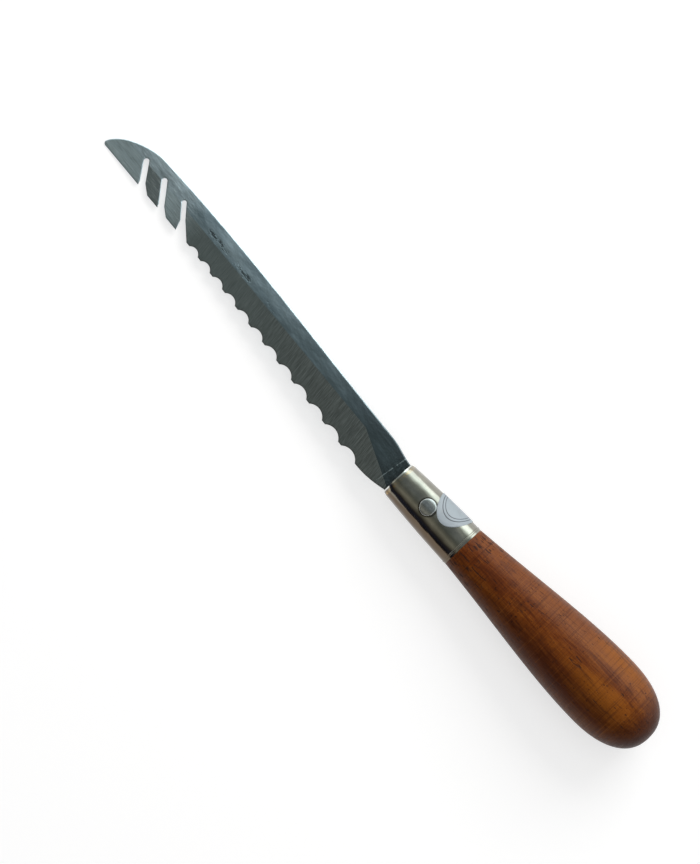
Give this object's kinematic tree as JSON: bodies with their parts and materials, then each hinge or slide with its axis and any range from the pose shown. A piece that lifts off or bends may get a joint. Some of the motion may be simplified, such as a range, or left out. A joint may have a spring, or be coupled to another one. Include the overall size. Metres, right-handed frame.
{
  "type": "root saw",
  "caption": "Hand tool for cutting roots: a forged blade with a scalloped edge and raker slots at the tip, set in a turned wooden grip with a riveted metal ferrule.",
  "frame": {"origin": "on the surface that the grip stands on, under the middle of the bounding box; the lowest point of the grip's swell is at Z = 0", "axes": "+X along the grip's axis from the butt toward the tip, +Y toward the scalloped edge, +Z out of the ground face of the blade"},
  "size_m": [0.3226, 0.0392, 0.0335],
  "materials": {
    "grip_wood": "stained and lacquered, satin",
    "ferrule_metal": "nickel plated, polished, warm grey",
    "rivet_metal": "satin",
    "label_paper": "coated paper sticker",
    "blade_steel": "forged and ground, with a cross-ground bevel and traces of scale"
  },
  "bodies": {
    "root": {"handle": "grip_wood", "ferrule": "ferrule_metal", "rivet": "rivet_metal", "label": "label_paper", "blade": "blade_steel"}
  },
  "joints": []
}
